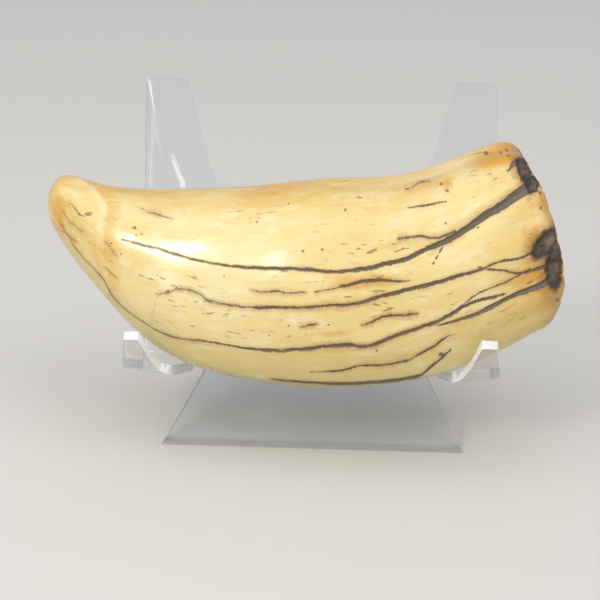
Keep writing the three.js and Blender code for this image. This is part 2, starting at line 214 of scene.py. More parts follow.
# Amber blushes in the polish: (x, up, half length, half height, tilt, strength), in mm.
BLUSHES = [
    (20.0, 30.8, 16.0, 3.4, 4, 0.75), (60.0, 68.5, 13.0, 4.6, 18, 1.0), (71.5, 58.0, 4.0, 9.0, 10, 0.8),
    (66.0, 71.0, 9.0, 4.0, -12, 1.0), (70.0, 43.5, 6.0, 5.5, 40, 0.9), (70.0, 33.5, 9.0, 3.2, 25, 0.8),
    (77.0, 22.0, 6.0, 12.0, 25, 1.0), (76.0, 16.0, 5.0, 7.0, 30, 1.0), (-76.0, 46.0, 3.5, 12.0, -8, 0.7),
    (70.0, 14.0, 7.0, 6.0, 35, 0.9), (-42.0, 52.0, 12.0, 4.0, -6, 0.8), (-14.0, 57.0, 13.0, 3.4, 2, 0.6),
    (38.0, 60.0, 12.0, 2.6, 14, 0.5), (-61.0, 34.0, 3.0, 9.0, 10, 0.6), (44.5, 59.5, 2.0, 3.2, 0, 0.8),
    (12.0, 14.5, 6.0, 1.4, 4, 0.5), (50.0, 19.0, 12.0, 2.0, 24, 0.5), (30.0, 42.0, 10.0, 1.8, 10, 0.35),
]
# How far the real rim stands proud of the plain one, by height on the section, in mm.
RIM_SHAPE = (
    [-1.0, -0.9, -0.75, -0.6, -0.2, 0.2, 0.5, 0.75, 1.0],
    [-2.2, -1.4, 1.2, 2.4, 2.6, 2.0, 1.3, -0.8, -2.0],
)
# Border of the worn facet at the tip, from the lower edge up: (x, up) in mm.
TIP_RIDGE = [(-61.5, 16.0), (-59.6, 28.2), (-61.0, 40.6), (-60.5, 49.0), (-62.5, 53.6), (-69.7, 58.6)]
# Brown stain low on the rim and halfway up it, and a knot at the tip, each as a blush without its strength.
UMBER = [(79.0, 20.0, 7.0, 13.0, 20), (77.5, 52.0, 3.0, 6.0, 15)]
KNOT = [(-65.2, 48.2, 1.9, 1.0, 20)]
# Curve nodes run from 0 to 1, so lengths in mm are scaled to that: the lowest value and the whole range.
X_LOW, X_RANGE = -82.0, 164.0
UP_LOW, UP_RANGE = -10.0, 90.0
WIDTH_LOW, WIDTH_RANGE = -5.0, 10.0
RIDGE_LOW, RIDGE_RANGE = -90.0, 60.0
# The mesh of the tooth: how its faces crowd, the share of its rings before the root end, the radius and
# the length over the root end of the coordinates that the grain follows, and the room left to the
# solid's box, the last three in mm.
FRONT_CROWD = 0.42
TIP_CROWD = 1.2
BODY_SHARE = 0.84
GRAIN_RADIUS = 25
GRAIN_OVER_ROOT = 30
BOX_MARGIN = 0.02
# How far past its ends a crack's width takes to fall away, as a share of the curve.
CRACK_FADE = 0.024


# Where the stand's cut edges are, in metres: the arms' tops above, the lips before, the foot's front rim
# below and its largest face in square metres, and the height under which a face lies on the surface.
ARMS_ABOVE = 0.1
LIPS_BEFORE = -0.045
RIM_BELOW = 0.0009
RIM_AREA = 0.0002
SURFACE = 0.0002


def smooth(a, b, x):
    t = np.clip((x - a) / (b - a), 0, 1)
    return t * t * (3 - 2 * t)


def column(k, share):
    """One column of the stations on a uniform Catmull-Rom curve."""
    s = STATIONS[:, k]
    s = np.concatenate([[2 * s[0] - s[1]], s, [2 * s[-1] - s[-2]]])
    last = len(STATIONS) - 1
    at = np.clip(share * last, 0, last - 1e-9)
    i = np.floor(at).astype(int)
    t = at - i
    p0, p1, p2, p3 = s[i], s[i + 1], s[i + 2], s[i + 3]
    return 0.5 * (2 * p1 + (p2 - p0) * t + (2 * p0 - 5 * p1 + 4 * p2 - p3) * t ** 2
                  + (3 * p1 - p0 - 3 * p2 + p3) * t ** 3)


def tooth_points(share, angle, size, out):
    """Points of the tooth's skin in mm, before it is set down on the stand."""
    top = [column(0, share), column(1, share)]
    low = [column(2, share), column(3, share)]
    cos, sin = np.cos(angle), np.sin(angle)
    wave = np.cos(7 * angle + 1.1) + 0.6 * np.cos(12 * angle + 0.4)
    scale = size * (1 + FLUTE_DEPTH * smooth(0.35, 1.0, share) * wave)
    side = np.sign(cos) * np.abs(cos) ** (2 / ROUND) * (1 - BELLY_DROOP * sin) * scale
    rise = np.sign(sin) * np.abs(sin) ** (2 / ROUND) * scale
    across = [top[0] - low[0], top[1] - low[1]]
    tall = np.maximum(np.hypot(*across), 1e-9)
    along = (0.5 * (top[0] + low[0]) + 0.5 * across[0] * rise) * TOOTH_LENGTH + out * across[1] / tall
    up = (0.5 * (top[1] + low[1]) + 0.5 * across[1] * rise) * TOOTH_LENGTH - out * across[0] / tall
    off = (column(5, share) + column(4, share) * side) * TOOTH_LENGTH
    x = along - TOOTH_LENGTH / 2 + TOOTH_SHIFT_X
    return np.stack([x, up * math.sin(LEAN) - off * math.cos(LEAN),
                     up * math.cos(LEAN) + off * math.sin(LEAN)], -1)


def set_down():
    """How far the solid's loft was moved to lie on the stand, in mm."""
    over = ROOT_RINGS[1:-1]
    sections = (np.arange(1, SOLID_RINGS + 1) / SOLID_RINGS) ** SOLID_CROWD
    share = np.concatenate([sections, np.ones(len(over))])[:, None]
    size = np.concatenate([np.ones(SOLID_RINGS), over[:, 0]])[:, None]
    out = np.concatenate([np.zeros(SOLID_RINGS), over[:, 1]])[:, None]
    angle = (np.arange(SOLID_AROUND) / SOLID_AROUND * 2 * np.pi)[None, :]
    low = tooth_points(*np.broadcast_arrays(share, angle, size, out)).reshape(-1, 3).min(0)
    return np.array(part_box("tooth")[0]) * 1000 - low


def on_side(points):
    """Row points in mm to (x, up the leaning side, off the panel)."""
    y, z = points[..., 1] - SIDE_Y, points[..., 2] - SIDE_Z
    return points[..., 0], y * math.sin(LEAN) + z * math.cos(LEAN), -y * math.cos(LEAN) + z * math.sin(LEAN)


def relief(x, v, front):
    """Depth of cracks and hollows under the polished skin, in mm."""
    depth = np.zeros_like(x)
    for line in CRACKS.values():
        px, pv, ph = np.array(line).T
        slope = np.gradient(pv, px)
        mid = np.interp(x, px, pv)
        half = np.interp(x, px, ph, left=0, right=0)
        lean = np.sqrt(1 + np.interp(x, px, slope) ** 2)
        near = np.abs(v - mid) / lean
        open_part = smooth(1.25, 0.2, near / np.maximum(half, 1e-4)) * (half > 0.2)
        valley = 1.0 * smooth(0.45, 1.1, half) * smooth(5.0, 0.0, near)
        depth = np.maximum(depth, open_part * np.minimum(1.2 * half, 1.0) + valley)
    px, pv, _ = np.array(CRACKS["upper"]).T
    lip = 0.55 * smooth(36, 54, x) * np.exp(-((v - np.interp(x, px, pv) - 3.6) / 1.3) ** 2)
    for cx, cv, long, short, tilt, deep in HOLLOWS:
        c, s = math.cos(math.radians(tilt)), math.sin(math.radians(tilt))
        a = ((x - cx) * c + (v - cv) * s) / long
        b = (-(x - cx) * s + (v - cv) * c) / short
        depth = np.maximum(depth, deep * smooth(1.15, 0.25, np.hypot(a, b)))
    return (depth - lip) * front


def ripple(seed, *waves):
    """A smooth, repeatable waviness around the section, between -1 and 1."""
    rng = np.random.default_rng(seed)
    phases = rng.uniform(0, 2 * np.pi, len(waves))
    return lambda angle: sum(np.cos(n * angle + p) / len(waves) for n, p in zip(waves, phases))


def from_angles(azimuth, elevation):
    """Direction toward a light: azimuth from the front toward +X, elevation from the floor, in degrees."""
    a, e = math.radians(azimuth), math.radians(elevation)
    return Vector((math.sin(a) * math.cos(e), -math.cos(a) * math.cos(e), math.sin(e)))


def deselect():
    if bpy.context.object and bpy.context.object.mode != "OBJECT":
        bpy.ops.object.mode_set(mode="OBJECT")
    bpy.ops.object.select_all(action="DESELECT")


def choose(obj):
    deselect()
    obj.select_set(True)
    bpy.context.view_layer.objects.active = obj


def add(tree, kind, values=None, **settings):
    """A node with its settings, and values or links for its inputs."""
    node = tree.nodes.new(kind)
    for key, value in settings.items():
        setattr(node, key, value)
    for key, value in (values or {}).items():
        if isinstance(value, bpy.types.NodeSocket):
            tree.links.new(value, node.inputs[key])
        else:
            node.inputs[key].default_value = value
    return node


def new_material(name):
    material = bpy.data.materials.new(name)
    material.use_nodes = True
    tree = material.node_tree
    tree.nodes.clear()
    shader = add(tree, "ShaderNodeBsdfPrincipled")
    output = add(tree, "ShaderNodeOutputMaterial")
    tree.links.new(shader.outputs[0], output.inputs[0])
    return material, tree, shader


def curve_node(tree, source, points, handle):
    """A float curve through the points, flat outside them."""
    node = add(tree, "ShaderNodeFloatCurve", {"Value": source})
    curve = node.mapping.curves[0]
    node.mapping.use_clip = False
    points = [(max(0.0, points[0][0] - 0.003), points[0][1])] + points if points[0][0] > 0.003 else points
    curve.points[0].location = points[0]
    curve.points[1].location = points[-1]
    for place in points[1:-1]:
        curve.points.new(*place)
    for point in curve.points:
        point.handle_type = handle
    node.mapping.extend = "HORIZONTAL"
    node.mapping.update()
    return node.outputs[0]


def scaled(tree, value, factor, offset):
    """A value times a factor, plus an offset."""
    return add(tree, "ShaderNodeMath", {0: value, 1: factor, 2: offset}, operation="MULTIPLY_ADD").outputs[0]


def crack_field(tree, x, v):
    """How far inside the nearest drawn crack a point lies, in mm; negative outside."""
    x01 = scaled(tree, x, 1 / X_RANGE, -X_LOW / X_RANGE)
    field = None
    for line in CRACKS.values():
        px, pv, ph = np.array(line).T
        lean = np.sqrt(1 + np.gradient(pv, px) ** 2)
        at = ((px - X_LOW) / X_RANGE).tolist()
        mid = list(zip(at, ((pv - UP_LOW) / UP_RANGE).tolist()))
        mid = curve_node(tree, x01, mid, "AUTO_CLAMPED")
        half = list(zip(at, ((ph * lean - WIDTH_LOW) / WIDTH_RANGE).tolist()))
        half = [(at[0] - CRACK_FADE, 0.0)] + half + [(at[-1] + CRACK_FADE, 0.0)]
        width = curve_node(tree, x01, half, "VECTOR")
        line_v = scaled(tree, mid, UP_RANGE, UP_LOW)
        gap = add(tree, "ShaderNodeMath", {0: v, 1: line_v}, operation="SUBTRACT").outputs[0]
        gap = add(tree, "ShaderNodeMath", {0: gap}, operation="ABSOLUTE").outputs[0]
        wide = scaled(tree, width, WIDTH_RANGE, WIDTH_LOW)
        inside = add(tree, "ShaderNodeMath", {0: wide, 1: gap}, operation="SUBTRACT").outputs[0]
        if field is None:
            field = inside
        else:
            field = add(tree, "ShaderNodeMath", {0: field, 1: inside}, operation="MAXIMUM").outputs[0]
    return field


def spot_field(tree, place, spots):
    """1 at the middle of the nearest spot, 0 at its edge and outside. Spots are (x, v, radius, ...) in mm."""
    field = None
    for spot in spots:
        cx, cv, long = spot[:3]
        short, tilt = (spot[3], spot[4]) if len(spot) > 3 else (long, 0)
        turn = add(tree, "ShaderNodeMapping", {
            "Vector": place, "Location": (cx, 0, cv), "Rotation": (0, -math.radians(tilt), 0),
            "Scale": (long, 10000, short)}, vector_type="TEXTURE").outputs[0]
        ball = add(tree, "ShaderNodeTexGradient", {"Vector": turn}, gradient_type="SPHERICAL").outputs["Fac"]
        if field is None:
            field = ball
        else:
            field = add(tree, "ShaderNodeMath", {0: field, 1: ball}, operation="MAXIMUM").outputs[0]
    return field


def ramp(tree, value, low, high, to_low=0.0, to_high=1.0):
    return add(tree, "ShaderNodeMapRange", {
        "Value": value, "From Min": low, "From Max": high, "To Min": to_low, "To Max": to_high},
        interpolation_type="SMOOTHSTEP").outputs[0]


def blend(tree, amount, under, over, mode="MIX"):
    node = add(tree, "ShaderNodeMix", data_type="RGBA", blend_type=mode)
    for key, value in ((0, amount), (6, under), (7, over)):
        if isinstance(value, bpy.types.NodeSocket):
            tree.links.new(value, node.inputs[key])
        else:
            node.inputs[key].default_value = value
    return node.outputs[2]


def times(tree, a, b):
    return add(tree, "ShaderNodeMath", {0: a, 1: b}, operation="MULTIPLY").outputs[0]


def polished_ivory(settings):
    """Hand-polished whale ivory: cream dentine with amber age stain along the grain, dark dirt in the
    age cracks and a soft waxy gloss, so light sinks a little way in and highlights stay small."""
    material, tree, shader = new_material("polished_whale_ivory")
    coords = add(tree, "ShaderNodeTexCoord").outputs["Object"]
    # x along the tooth, -y off the panel, z up the leaning side, in mm.
    place = add(tree, "ShaderNodeMapping", {
        "Vector": coords, "Rotation": (LEAN, 0, 0),
        "Location": (0, SIDE_Z * math.sin(LEAN) - SIDE_Y * math.cos(LEAN),
                     -SIDE_Y * math.sin(LEAN) - SIDE_Z * math.cos(LEAN)),
        "Scale": (1000, 1000, 1000)}).outputs[0]
    flow = add(tree, "ShaderNodeAttribute", attribute_name="grain").outputs["Vector"]
    form = add(tree, "ShaderNodeSeparateXYZ", {0: add(tree, "ShaderNodeAttribute",
                                                      attribute_name="form").outputs["Vector"]})
    along, topness, rootness = form.outputs[0], form.outputs[1], form.outputs[2]

    def noise(vector, size, stretch=(1, 1, 1), detail=3.0, rough=0.55, wander=0.0):
        sized = add(tree, "ShaderNodeMapping", {
            "Vector": vector, "Scale": tuple(k / size for k in stretch)}).outputs[0]
        return add(tree, "ShaderNodeTexNoise", {
            "Vector": sized, "Scale": 1.0, "Detail": detail, "Roughness": rough,
            "Distortion": wander}).outputs["Fac"]

    # A crack's wall wanders by a few tenths of a millimetre and frays in fibres about 0.4 mm apart.
    wander = noise(place, 5.0, (1, 1, 1), 4.0, 0.6)
    fibres = noise(place, 0.5, (1.0, 0.25, 0.3), 2.0, 0.6)
    x, off, v = add(tree, "ShaderNodeSeparateXYZ", {0: place}).outputs
    # Pits and hollows have broken outlines.
    broken = add(tree, "ShaderNodeTexNoise", {"Vector": place, "Scale": 0.7, "Detail": 3.0}).outputs["Color"]
    broken = add(tree, "ShaderNodeVectorMath", {0: broken, 1: (0.5, 0.5, 0.5)},
                 operation="SUBTRACT").outputs[0]
    ragged_place = add(tree, "ShaderNodeVectorMath", {0: broken, 1: (2.6, 2.6, 2.6), 2: place},
                       operation="MULTIPLY_ADD").outputs[0]
    pit_place = add(tree, "ShaderNodeVectorMath", {0: broken, 1: (0.9, 0.9, 0.9), 2: place},
                    operation="MULTIPLY_ADD").outputs[0]
    bent = scaled(tree, wander, 1.5, -0.75)
    v_bent = add(tree, "ShaderNodeMath", {0: v, 1: bent}, operation="ADD").outputs[0]
    field = crack_field(tree, x, v_bent)
    frayed = scaled(tree, fibres, 0.8, -0.4)
    field = add(tree, "ShaderNodeMath", {0: field, 1: frayed}, operation="ADD").outputs[0]
    field = add(tree, "ShaderNodeMath", {0: noise(place, 3.2, (1, 1, 1), 2.0), 1: 0.6, 2: field},
                operation="MULTIPLY_ADD").outputs[0]
    field = add(tree, "ShaderNodeMath", {0: field, 1: -0.28}, operation="ADD").outputs[0]
    front = times(tree, ramp(tree, off, -20.0, -24.0), ramp(tree, rootness, 1.1, 0.7))

    # Pale cream body with a yellower and a paler cream drifting through it over some 30 mm.
    body = blend(tree, ramp(tree, noise(flow, 30.0, (0.5, 1, 1), 3.0), 0.35, 0.65),
                 (*settings.cream, 1), rgba("E7C97C"))
    paler = ramp(tree, noise(flow, 17.0, (0.4, 1, 1), 4.0), 0.52, 0.72, 0.0, 0.55)
    body = blend(tree, paler, body, rgba("F5E8B6"))
    # Growth grain: faint streaks about 2 mm apart that run the length of the tooth.
    grain = noise(flow, 2.2, (0.09, 1, 1), 4.0, 0.65, 0.6)
    drift = noise(flow, 22.0, (0.5, 1, 1), 3.0, 0.6)
    streaky = times(tree, ramp(tree, grain, 0.48, 0.78, 0.0, 0.13), ramp(tree, drift, 0.42, 0.62, 0.0, 1.0))
    body = blend(tree, streaky, body, rgba("D6AC58"))
    # Faint cream mottling of about 3 mm.
    body = blend(tree, ramp(tree, noise(flow, 3.6, (0.6, 1, 1), 5.0, 0.65), 0.46, 0.72, 0.0, 0.5), body,
                 rgba("F7ECC2"))
    fine = noise(flow, 0.7, (0.12, 1, 1), 2.0, 0.5)
    body = blend(tree, ramp(tree, fine, 0.55, 0.8, 0.0, 0.14), body, rgba("BC9450"))
    # Amber stain: at the tip, along the top edge and toward the root, in uneven patches.
    patch = noise(flow, 12.0, (0.35, 1, 1), 5.0, 0.6)
    edge = times(tree, ramp(tree, topness, 0.62, 1.0), ramp(tree, x, 25.0, -15.0, 0.35, 1.0))
    root = ramp(tree, x, 50.0, 78.0, 0.0, 1.0)
    tip = ramp(tree, x, -52.0, -72.0, 0.0, 0.55)
    stained = add(tree, "ShaderNodeMath", {0: edge, 1: root}, operation="MAXIMUM").outputs[0]
    stained = add(tree, "ShaderNodeMath", {0: stained, 1: tip}, operation="MAXIMUM").outputs[0]
    stained = times(tree, stained, ramp(tree, patch, 0.3, 0.7, 0.25, 1.0))
    body = blend(tree, times(tree, stained, 0.8), body, (*settings.amber, 1))
    spots = times(tree, ramp(tree, noise(flow, 5.0, (0.3, 1, 1), 5.0, 0.7), 0.62, 0.78), 0.5)
    body = blend(tree, spots, body, rgba("CC9028"))
    # A worn facet at the tip: its border is a pale ridge with an amber band on the far side.
    v01 = scaled(tree, v, 1 / UP_RANGE, -UP_LOW / UP_RANGE)
    ridge = [((b - UP_LOW) / UP_RANGE, (a - RIDGE_LOW) / RIDGE_RANGE) for a, b in TIP_RIDGE]
    ridge = scaled(tree, curve_node(tree, v01, ridge, "AUTO_CLAMPED"), RIDGE_RANGE, RIDGE_LOW)
    beyond = add(tree, "ShaderNodeMath", {0: x, 1: ridge}, operation="SUBTRACT").outputs[0]
    beyond = add(tree, "ShaderNodeMath", {0: bent, 1: 3.0, 2: beyond}, operation="MULTIPLY_ADD").outputs[0]
    band = times(tree, ramp(tree, beyond, 0.2, 1.6), ramp(tree, beyond, 7.0, 2.2))
    body = blend(tree, times(tree, times(tree, band, front), ramp(tree, patch, 0.3, 0.65, 0.3, 0.8)), body,
                 rgba("E0AE4A"))
    crest = times(tree, ramp(tree, beyond, -2.2, -0.6), ramp(tree, beyond, 1.0, 0.2))
    body = blend(tree, times(tree, times(tree, crest, front), 0.5), body, rgba("F5E2AC"))
    knot = times(tree, spot_field(tree, ragged_place, KNOT), front)
    body = blend(tree, ramp(tree, knot, 0.1, 0.6), body, rgba("A67420"))
    for cx, cv, long, short, tilt, strength in BLUSHES:
        blush = spot_field(tree, ragged_place, [(cx, cv, long, short, tilt)])
        blush = ramp(tree, blush, 0.0, 0.7, 0.0, strength)
        blush = times(tree, times(tree, blush, front), ramp(tree, patch, 0.3, 0.62, 0.15, 1.0))
        body = blend(tree, blush, body, (*settings.amber, 1))
    umber = times(tree, ramp(tree, spot_field(tree, ragged_place, UMBER), 0.0, 0.8), front)
    body = blend(tree, times(tree, umber, ramp(tree, patch, 0.3, 0.6, 0.4, 0.85)), body, rgba("A4691E"))
    # Brown specks and dashes, densest at the root.
    speck = ramp(tree, noise(flow, 1.5, (0.3, 1, 1), 3.0, 0.6), 0.62, 0.7)
    speck = times(tree, speck, ramp(tree, x, 30.0, 76.0, 0.25, 1.0))
    speck = times(tree, speck, ramp(tree, patch, 0.42, 0.6, 0.15, 1.0))
    body = blend(tree, speck, body, rgba("8F6130"))
    dash = ramp(tree, noise(flow, 0.9, (0.3, 1, 1), 2.0, 0.5), 0.62, 0.69)
    dash = times(tree, dash, ramp(tree, noise(flow, 9.0, (0.5, 1, 1), 2.0), 0.48, 0.64, 0.0, 0.75))
    body = blend(tree, dash, body, rgba("8E6632"))
    # Painted shade: the belly, the tooth's lower side, is painted a greener, duller cream for the cool shade
    # that falls there.
    body = blend(tree, ramp(tree, topness, -0.35, -0.95, 0.0, 0.5), body, rgba("C2B672"))
    # The broken rim and the inside of the root are bare, darker cementum.
    bare = times(tree, ramp(tree, rootness, 0.0, 0.9, 0.0, 0.85), ramp(tree, patch, 0.25, 0.6, 0.5, 1.0))
    body = blend(tree, bare, body, rgba("A66C1A"))
    body = blend(tree, ramp(tree, rootness, 1.0, 1.9), body, rgba("45311F"))
    # Long hairline cracks of the unseen side and the top.
    web = add(tree, "ShaderNodeMapping", {"Vector": flow, "Scale": (1 / 150, 1 / 15, 1 / 15)}).outputs[0]
    web = add(tree, "ShaderNodeVectorMath", {0: web, 1: add(tree, "ShaderNodeTexNoise", {
        "Vector": web, "Scale": 2.0, "Detail": 5.0}).outputs["Color"]}, operation="ADD").outputs[0]
    cells = add(tree, "ShaderNodeTexVoronoi", {"Vector": web, "Scale": 1.0}, feature="DISTANCE_TO_EDGE")
    behind = ramp(tree, off, -24.0, -16.0)
    hair = times(tree, ramp(tree, cells.outputs["Distance"], 0.018, 0.003), behind)
    hair = times(tree, hair, ramp(tree, noise(flow, 34.0, (0.5, 1, 1), 2.0), 0.46, 0.56))
    hair = times(tree, hair, ramp(tree, along, 0.08, 0.3))
    body = blend(tree, times(tree, hair, 0.8), body, rgba("5A4636"))
    # Brown halo where dirt has crept from the cracks into the dentine.
    halo = times(tree, ramp(tree, field, -1.7, 0.1), ramp(tree, patch, 0.38, 0.65, 0.05, 0.65))
    body = blend(tree, times(tree, halo, front), body, rgba("B07A38"))
    # Packed dirt: near-black walls, greyer in the middle of the wide cracks.
    dark = blend(tree, ramp(tree, field, 0.0, 0.6), rgba("4A3C2F"), (*settings.crack_fill, 1))
    # Toward the tip the cracks are shallow and show as greenish grey lines.
    dark = blend(tree, ramp(tree, x, -12.0, -45.0, 0.0, 0.8), dark, rgba("8F8862"))
    crack = times(tree, ramp(tree, field, -0.32, 0.32), front)
    wider = [(cx, cv, a * 1.2, b * 1.25, t) for cx, cv, a, b, t, _ in HOLLOWS]
    sunk = spot_field(tree, ragged_place, wider)
    hollow = times(tree, ramp(tree, sunk, 0.04, 0.36), front)
    ragged = ramp(tree, noise(place, 2.6, (1, 1, 1), 3.0, 0.6), 0.3, 0.55, 0.8, 1.0)
    around = [(cx - 1, cv, a * 1.6, b * 2.0, t) for cx, cv, a, b, t, _ in HOLLOWS]
    scorch = spot_field(tree, ragged_place, around)
    scorch = times(tree, times(tree, ramp(tree, scorch, 0.0, 0.6), front), 0.6)
    body = blend(tree, scorch, body, rgba("94601C"))
    pits = ramp(tree, spot_field(tree, pit_place, PITS), 0.05, 0.75)
    ticks = ramp(tree, spot_field(tree, place, TICKS), 0.05, 0.45)
    pits = add(tree, "ShaderNodeMath", {0: pits, 1: ticks}, operation="MAXIMUM").outputs[0]
    pits = times(tree, pits, front)
    colour = blend(tree, times(tree, pits, 0.8), body, rgba("5B4025"))
    colour = blend(tree, crack, colour, dark)
    # Brown-black edges of the hollows, grey dust in their middle.
    dust = times(tree, ramp(tree, sunk, 0.3, 0.75), ramp(tree, noise(place, 4.0, (1, 1, 1), 4.0), 0.35, 0.7))
    dust = blend(tree, dust, rgba("382A20"), rgba("7A7066"))
    colour = blend(tree, times(tree, hollow, ragged), colour, dust)
    tree.links.new(colour, shader.inputs["Base Color"])

    marks = add(tree, "ShaderNodeMath", {0: crack, 1: hollow}, operation="MAXIMUM").outputs[0]
    worn = add(tree, "ShaderNodeMath", {0: marks, 1: ramp(tree, rootness, 0.4, 1.2)},
               operation="MAXIMUM").outputs[0]
    gloss = ramp(tree, noise(flow, 6.0, (0.4, 1, 1), 4.0, 0.6), 0.3, 0.7, settings.roughness - 0.05,
                 settings.roughness + 0.08)
    dull = add(tree, "ShaderNodeMix", {0: worn, 2: gloss, 3: 0.75}, data_type="FLOAT").outputs[0]
    tree.links.new(dull, shader.inputs["Roughness"])
    tree.links.new(ramp(tree, worn, 0.0, 1.0, 0.4, 0.0), shader.inputs["Coat Weight"])
    shader.inputs["Coat Roughness"].default_value = 0.09
    shader.inputs["IOR"].default_value = 1.54
    shader.inputs["Subsurface Weight"].default_value = 0.08
    shader.inputs["Subsurface Radius"].default_value = (0.6, 0.6, 0.4)
    shader.inputs["Subsurface Scale"].default_value = 0.002

    low = times(tree, ramp(tree, field, -0.25, 0.3), front)
    height = add(tree, "ShaderNodeMath", {0: low, 1: -1.0}, operation="MULTIPLY").outputs[0]
    height = add(tree, "ShaderNodeMath", {0: pits, 1: -0.6, 2: height}, operation="MULTIPLY_ADD").outputs[0]
    height = add(tree, "ShaderNodeMath", {0: hair, 1: -0.5, 2: height}, operation="MULTIPLY_ADD").outputs[0]
    height = add(tree, "ShaderNodeMath", {0: grain, 1: 0.003, 2: height}, operation="MULTIPLY_ADD").outputs[0]
    height = add(tree, "ShaderNodeMath", {0: noise(place, 1.2), 1: times(tree, worn, 0.8), 2: height},
                 operation="MULTIPLY_ADD").outputs[0]
    bump = add(tree, "ShaderNodeBump", {"Strength": 0.7, "Distance": 0.0005, "Height": height})
    tree.links.new(bump.outputs[0], shader.inputs["Normal"])
    tree.links.new(bump.outputs[0], shader.inputs["Coat Normal"])
    return material


def cast_acrylic(settings):
    """Cast acrylic sheet, heat-bent: clear, with a faint cold tint that is partly the sheet's own and partly
    painted reflection of bluish daylight, and fine handling scratches.
    """
    material, tree, shader = new_material("clear_cast_acrylic")
    # The tint is partly the sheet's own faint cold cast and partly painted reflection of bluish daylight.
    shader.inputs["Base Color"].default_value = (*settings.tint, 1)
    shader.inputs["IOR"].default_value = 1.49
    shader.inputs["Transmission Weight"].default_value = 1.0
    shader.inputs["Alpha"].default_value = 0.32
    coords = add(tree, "ShaderNodeTexCoord").outputs["Object"]
    # Scratches a few tenths of a millimetre wide and smudges some 20 mm across, drawn wide enough to show.
    scratch = add(tree, "ShaderNodeTexNoise", {
        "Vector": add(tree, "ShaderNodeMapping", {
            "Vector": coords, "Rotation": (0, 0, 0.5), "Scale": (90, 1500, 1500)}).outputs[0],
        "Scale": 1.0, "Detail": 2.0}).outputs["Fac"]
    smudge = add(tree, "ShaderNodeTexNoise", {"Vector": coords, "Scale": 45.0, "Detail": 4.0}).outputs["Fac"]
    haze = times(tree, ramp(tree, scratch, 0.62, 0.75), ramp(tree, smudge, 0.45, 0.6))
    tree.links.new(ramp(tree, haze, 0.0, 1.0, 0.02, 0.22), shader.inputs["Roughness"])
    bump = add(tree, "ShaderNodeBump", {"Strength": 0.15, "Distance": 0.0001, "Height": scratch})
    tree.links.new(bump.outputs[0], shader.inputs["Normal"])
    return material


def sawn_acrylic(settings):
    """The sheet's sawn and lightly flamed edge: it gathers light and scatters it, so it looks white."""
    material, tree, shader = new_material("sawn_acrylic_edge")
    shader.inputs["Base Color"].default_value = (*settings.edge_tint, 1)
    shader.inputs["IOR"].default_value = 1.49
    shader.inputs["Transmission Weight"].default_value = 0.12
    coords = add(tree, "ShaderNodeTexCoord").outputs["Object"]
    # Saw marks about 0.5 mm apart across the edge.
    marks = add(tree, "ShaderNodeTexNoise", {"Vector": coords, "Scale": 450.0, "Detail": 2.0}).outputs["Fac"]
    tree.links.new(ramp(tree, marks, 0.3, 0.7, 0.22, 0.4), shader.inputs["Roughness"])
    bump = add(tree, "ShaderNodeBump", {"Strength": 0.03, "Distance": 0.0001, "Height": marks})
    tree.links.new(bump.outputs[0], shader.inputs["Normal"])
    return material


def pale_floor(settings):
    """Matt painted board under the object."""
    material, tree, shader = new_material("pale_floor")
    shader.inputs["Base Color"].default_value = (*settings.floor_colour, 1)
    shader.inputs["Roughness"].default_value = 0.7
    return material


class ToothSettings(PropertyGroup):
    around: IntProperty(name="Around", description="Faces around the tooth", default=380, min=72, max=400)
    rings: IntProperty(name="Rings", description="Rings from the tip to the pulp cavity", default=252,
                       min=80, max=260)
    skin: FloatProperty(name="Skin", description="How far the polished skin lies inside the solid's facets",
                        default=0.00006, unit="LENGTH", precision=5)
    roughness: FloatProperty(name="Roughness", description="Roughness of the polished skin", default=0.24,
                             min=0.05, max=1, subtype="FACTOR")
    cream: FloatVectorProperty(name="Cream", description="Main colour of the ivory", default=linear("EFD794"),
                               min=0, max=1, subtype="COLOR")
    amber: FloatVectorProperty(name="Amber", description="Colour of the age stain", default=linear("D79C24"),
                               min=0, max=1, subtype="COLOR")
    crack_fill: FloatVectorProperty(name="Crack fill", description="Colour of the dirt in wide cracks",
                                    default=linear("7B7064"), min=0, max=1, subtype="COLOR")


class StandSettings(PropertyGroup):
    edge_round: FloatProperty(name="Edge round", description="Radius that softens the sheet's cut edges",
                              default=0.0005, unit="LENGTH", precision=5)
    # Tint: partly the sheet's own faint cold cast, partly painted reflection of bluish daylight.
    tint: FloatVectorProperty(name="Tint", description="Tint of the clear sheet", default=linear("DDE9F8"),
                              min=0, max=1, subtype="COLOR")
    edge_tint: FloatVectorProperty(name="Edge tint", description="Colour of the sawn edges",
                                   default=linear("F4F6FA"), min=0, max=1, subtype="COLOR")


class StageSettings(PropertyGroup):
    floor_colour: FloatVectorProperty(name="Floor", description="Colour of the floor",
                                      default=linear("DAD6D0"), min=0, max=1, subtype="COLOR")
    light: FloatProperty(name="Light", description="Strength of the studio light", default=0.93, min=0, max=5)
    distance: FloatProperty(name="Camera distance", description="From the camera to the tooth", default=0.5,
                            unit="LENGTH")
    elevation: FloatProperty(name="Elevation", description="How far the camera looks down",
                             default=math.radians(25), subtype="ANGLE")
    azimuth: FloatProperty(name="Azimuth", description="How far the camera stands toward the root end",
                           default=math.radians(3.4), subtype="ANGLE")


